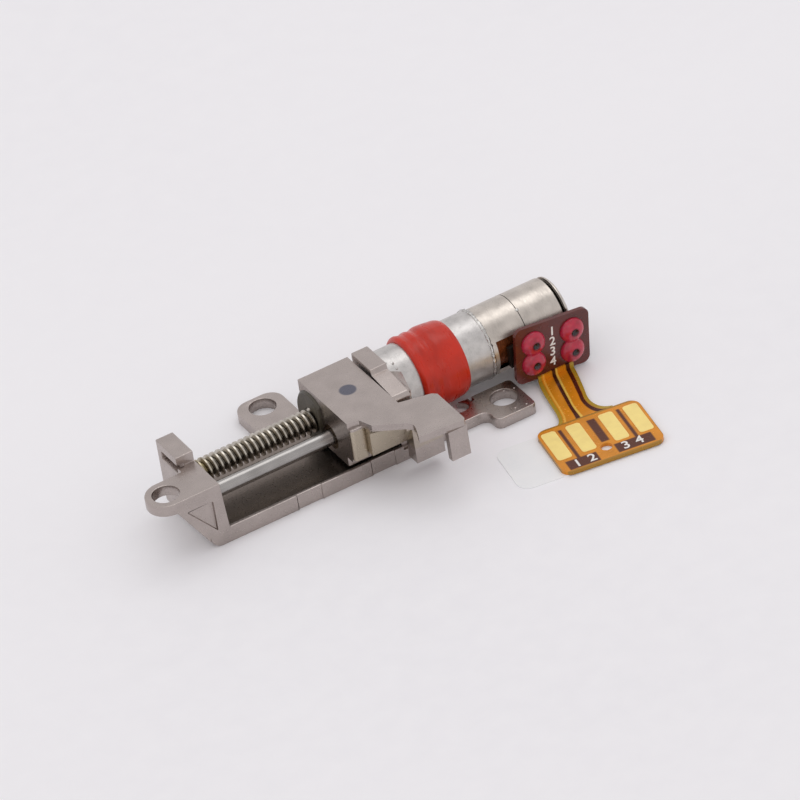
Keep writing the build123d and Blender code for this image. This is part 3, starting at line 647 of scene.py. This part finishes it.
class ACTUATOR_OT_screw_line(bpy.types.Operator):
    """Finish the lead screw, its nut and bushes, and the guide rod"""
    bl_idname = "actuator.screw_line"
    bl_label = "Screw, nut and rod"

    def execute(self, context):
        paint(rolled_thread(), "lead_screw")
        paint(ground_steel(), "guide_rod", "motor_shaft")
        paint(sintered_bronze(), "front_bush", "guide_bush", "output_bearing", "front_motor_bearing",
              "rear_motor_bearing")
        paint(dark_acetal(), "drive_nut")
        return {"FINISHED"}


class ACTUATOR_OT_gearbox(bpy.types.Operator):
    """Finish the gearbox barrel, its gear train and its sleeve, and lay the weld and its spatter"""
    bl_idname = "actuator.gearbox"
    bl_label = "Gearbox and sleeve"

    def execute(self, context):
        colours = context.scene.actuator_colours
        sizes = context.scene.actuator_sizes
        paint(satin_barrel(colours), "gearbox_housing", "front_motor_plate")
        gears = [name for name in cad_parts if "stage" in name or "carrier" in name]
        paint(dull_steel(), "ring_gear", *gears)
        paint(silicone_rubber(colours), "damping_sleeve")
        # the laser weld that holds the motor to the gearbox, crinkled all the way round
        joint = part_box("weld_ring")[0].x + sizes.bead / 2
        bpy.ops.object.select_all(action="DESELECT")
        bpy.ops.mesh.primitive_torus_add(major_radius=(CAN_HIGH.z - CAN_LOW.z) / 2, minor_radius=sizes.bead,
                                         major_segments=sizes.ring_steps, minor_segments=12,
                                         location=(joint, 0, AXIS_Z), rotation=(0, pi / 2, 0))
        bead = bpy.context.object
        crinkle = bpy.data.textures.new("weld_crinkle", "CLOUDS")
        crinkle.noise_scale = CRINKLE
        apply_modifier(bead, "DISPLACE", texture=crinkle, texture_coords="LOCAL", strength=CRINKLE,
                       mid_level=0.5)
        bpy.ops.object.shade_smooth()
        attach(bead, "weld_bead", "frame", weld_metal(), ["weld_ring"])
        radius = (GEARBOX_HIGH.z - GEARBOX_LOW.z) / 2
        spatter = [ball(on_barrel(GEARBOX_LOW.x + x * MM, angle, radius), (size * MM,) * 3)
                   for x, angle, size in SPATTER]
        attach(joined(spatter), "weld_spatter", "frame", weld_metal())
        return {"FINISHED"}


class ACTUATOR_OT_motor(bpy.types.Operator):
    """Finish the stepper motor's cans, yokes, coils, magnet and end plate, with welds over the seam"""
    bl_idname = "actuator.motor"
    bl_label = "Motor"

    def execute(self, context):
        colours = context.scene.actuator_colours
        paint(brushed_can(colours), "front_stator_can", "rear_stator_can")
        paint(end_cap(colours), "rear_end_plate")
        paint(dull_steel(), "front_claw_yoke", "rear_claw_yoke")
        paint(black_polymer(), "front_bobbin", "rear_bobbin", "terminal_block")
        paint(copper_winding(), "front_coil", "rear_coil")
        paint(ferrite(), "rotor_magnet")
        radius = (CAN_HIGH.z - CAN_LOW.z) / 2
        seam = [ball(on_barrel(CAN_LOW.x, angle, radius), SEAM_WELD_SIZE, (radians(90 - angle), 0, 0))
                for angle in SEAM_WELDS]
        attach(joined(seam), "seam_weld_dots", "frame", weld_metal())
        return {"FINISHED"}


def lacquer_over(places, radius):
    """A thick drop over each terminal, run together down each column, with a dent over the pin."""
    drops = joined([ball(place, (radius, LACQUER_DEPTH, radius)) for place in places])
    apply_modifier(drops, "REMESH", mode="VOXEL", voxel_size=0.05 * MM)
    apply_modifier(drops, "SMOOTH", factor=0.5, iterations=10)
    dents = joined([ball(place - Vector((0, DENT_OUT, 0)), (DENT_RADIUS,) * 3) for place in places])
    apply_modifier(drops, "BOOLEAN", object=dents, operation="DIFFERENCE", solver="EXACT")
    bpy.data.objects.remove(dents)
    only(drops)
    bpy.ops.object.shade_smooth_by_angle(angle=radians(50))
    return drops


def board_numbers():
    """The numbers 1 to 4 in a column down the middle of the board."""
    face = middle("solder_board")
    face.y = BOARD_FACE_Y
    return joined([numeral(str(row + 1), BOARD_NUMBER,
                           face + BOARD_UP * (BOARD_NUMBER_TOP - BOARD_NUMBER_STEP * row) * MM,
                           BOARD_ALONG, BOARD_UP) for row in range(4)])


def strip_numbers():
    """The numbers 1 to 4 along the strip's lower edge."""
    face = middle("pad_strip")
    face.z = STRIP_TOP
    return joined([numeral(str(number), STRIP_NUMBER, face + (STRIP_ALONG * x + STRIP_UP * y) * MM,
                           STRIP_ALONG, STRIP_UP)
                   for number, (x, y) in enumerate(STRIP_NUMBER_PLACES, start=1)])


class ACTUATOR_OT_circuit(bpy.types.Operator):
    """Finish the board, tail, strip, pads and liner, with lacquered terminals and printed numbers"""
    bl_idname = "actuator.circuit"
    bl_label = "Flexible circuit"

    def execute(self, context):
        colours = context.scene.actuator_colours
        paint(turned_brass(), "terminal_pins")
        paint(dark_film(), "solder_board")
        paint(tail_film(colours), "flex_tail")
        paint(strip_film(colours), "pad_strip")
        drops = lacquer_over(terminal_places(), context.scene.actuator_sizes.lacquer)
        attach(drops, "lacquer_drops", "frame", lacquer(colours), ["solder_blobs"])
        ink = print_ink()
        attach(board_numbers(), "board_numbers", "frame", ink)
        attach(strip_numbers(), "pad_numbers", "frame", ink)
        paint(gold_plate(colours), "contact_pads")
        paint(frosted_liner(), "release_liner")
        return {"FINISHED"}


# ---- stage -------------------------------------------------------------------------------------
def soft_light(name, place, size, power, colour):
    """A large rectangular lamp that points at the camera's aim."""
    light = bpy.data.lights.new(name, "AREA")
    light.shape = "RECTANGLE"
    light.size, light.size_y = size
    light.energy = power
    light.color = linear(colour)[:3]
    lamp = bpy.data.objects.new(name, light)
    lamp.location = place
    lamp.rotation_euler = (CAMERA_AIM - Vector(place)).to_track_quat("-Z", "Y").to_euler()
    bpy.context.scene.collection.objects.link(lamp)


class ACTUATOR_OT_stage(bpy.types.Operator):
    """Lay the pale floor, hang the soft lights and set the camera"""
    bl_idname = "actuator.stage"
    bl_label = "Floor, light and camera"

    azimuth: FloatProperty(name="Azimuth", default=-24.87)
    elevation: FloatProperty(name="Elevation", default=35.7)
    roll: FloatProperty(name="Roll", default=9.61)
    distance: FloatProperty(name="Distance", default=0.587, unit="LENGTH")
    lens: FloatProperty(name="Lens", default=390.5)

    def execute(self, context):
        bpy.ops.mesh.primitive_plane_add(size=FLOOR_SIZE, location=(0, 0, 0))
        floor = bpy.context.object
        floor.name = "floor"
        paper = surface("studio_paper", (linear("f5f4f6"), linear("eeedf0")), patch=60,
                        roughness=(0.5, 0.7), grain=2.0, depth=0.0, Metallic=0.0, Specular_IOR_Level=0.3)
        floor.data.materials.append(paper)
        world = bpy.data.worlds.new("studio")
        world.use_nodes = True
        world.node_tree.nodes["Background"].inputs["Color"].default_value = linear("f5f3f5")
        world.node_tree.nodes["Background"].inputs["Strength"].default_value = DAYLIGHT
        context.scene.world = world
        for softbox in SOFTBOXES:
            soft_light(*softbox)
        azimuth, elevation = radians(self.azimuth), radians(self.elevation)
        back = Vector((sin(azimuth) * cos(elevation), -cos(azimuth) * cos(elevation), sin(elevation)))
        data = bpy.data.cameras.new("camera")
        data.lens = self.lens
        data.clip_start, data.clip_end = 0.01, 10
        camera = bpy.data.objects.new("camera", data)
        level = (-back).to_track_quat("-Z", "Y").to_matrix().to_4x4()
        place = Matrix.Translation(CAMERA_AIM + back * self.distance)
        camera.matrix_world = place @ level @ Matrix.Rotation(radians(-self.roll), 4, "Z")
        context.scene.collection.objects.link(camera)
        context.scene.camera = camera
        context.scene.view_settings.view_transform = "Standard"
        return {"FINISHED"}


class ACTUATOR_PT_panel(bpy.types.Panel):
    """Sizes, colours and pieces of the actuator"""
    bl_idname = "ACTUATOR_PT_panel"
    bl_label = "Micro Linear Actuator"
    bl_space_type = "VIEW_3D"
    bl_region_type = "UI"
    bl_category = "Actuator"

    def draw(self, context):
        for group in (context.scene.actuator_sizes, context.scene.actuator_colours):
            for name in group.__annotations__:
                self.layout.prop(group, name)
        for piece in PIECES:
            self.layout.operator(piece.bl_idname)


GROUPS = (ActuatorSizes, ActuatorColours)
PIECES = (ACTUATOR_OT_metalwork, ACTUATOR_OT_screw_line, ACTUATOR_OT_gearbox, ACTUATOR_OT_motor,
          ACTUATOR_OT_circuit, ACTUATOR_OT_stage)


def register():
    for shown in (*GROUPS, *PIECES, ACTUATOR_PT_panel):
        bpy.utils.register_class(shown)
    bpy.types.Scene.actuator_sizes = PointerProperty(type=ActuatorSizes)
    bpy.types.Scene.actuator_colours = PointerProperty(type=ActuatorColours)


def unregister():
    del bpy.types.Scene.actuator_colours
    del bpy.types.Scene.actuator_sizes
    for shown in reversed((*GROUPS, *PIECES, ACTUATOR_PT_panel)):
        bpy.utils.unregister_class(shown)


def main():
    """Register the add-on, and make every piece."""
    register()
    bpy.ops.actuator.stage()
    bpy.ops.actuator.metalwork()
    bpy.ops.actuator.screw_line()
    bpy.ops.actuator.gearbox()
    bpy.ops.actuator.motor()
    bpy.ops.actuator.circuit()


if __name__ == "__main__":
    main()
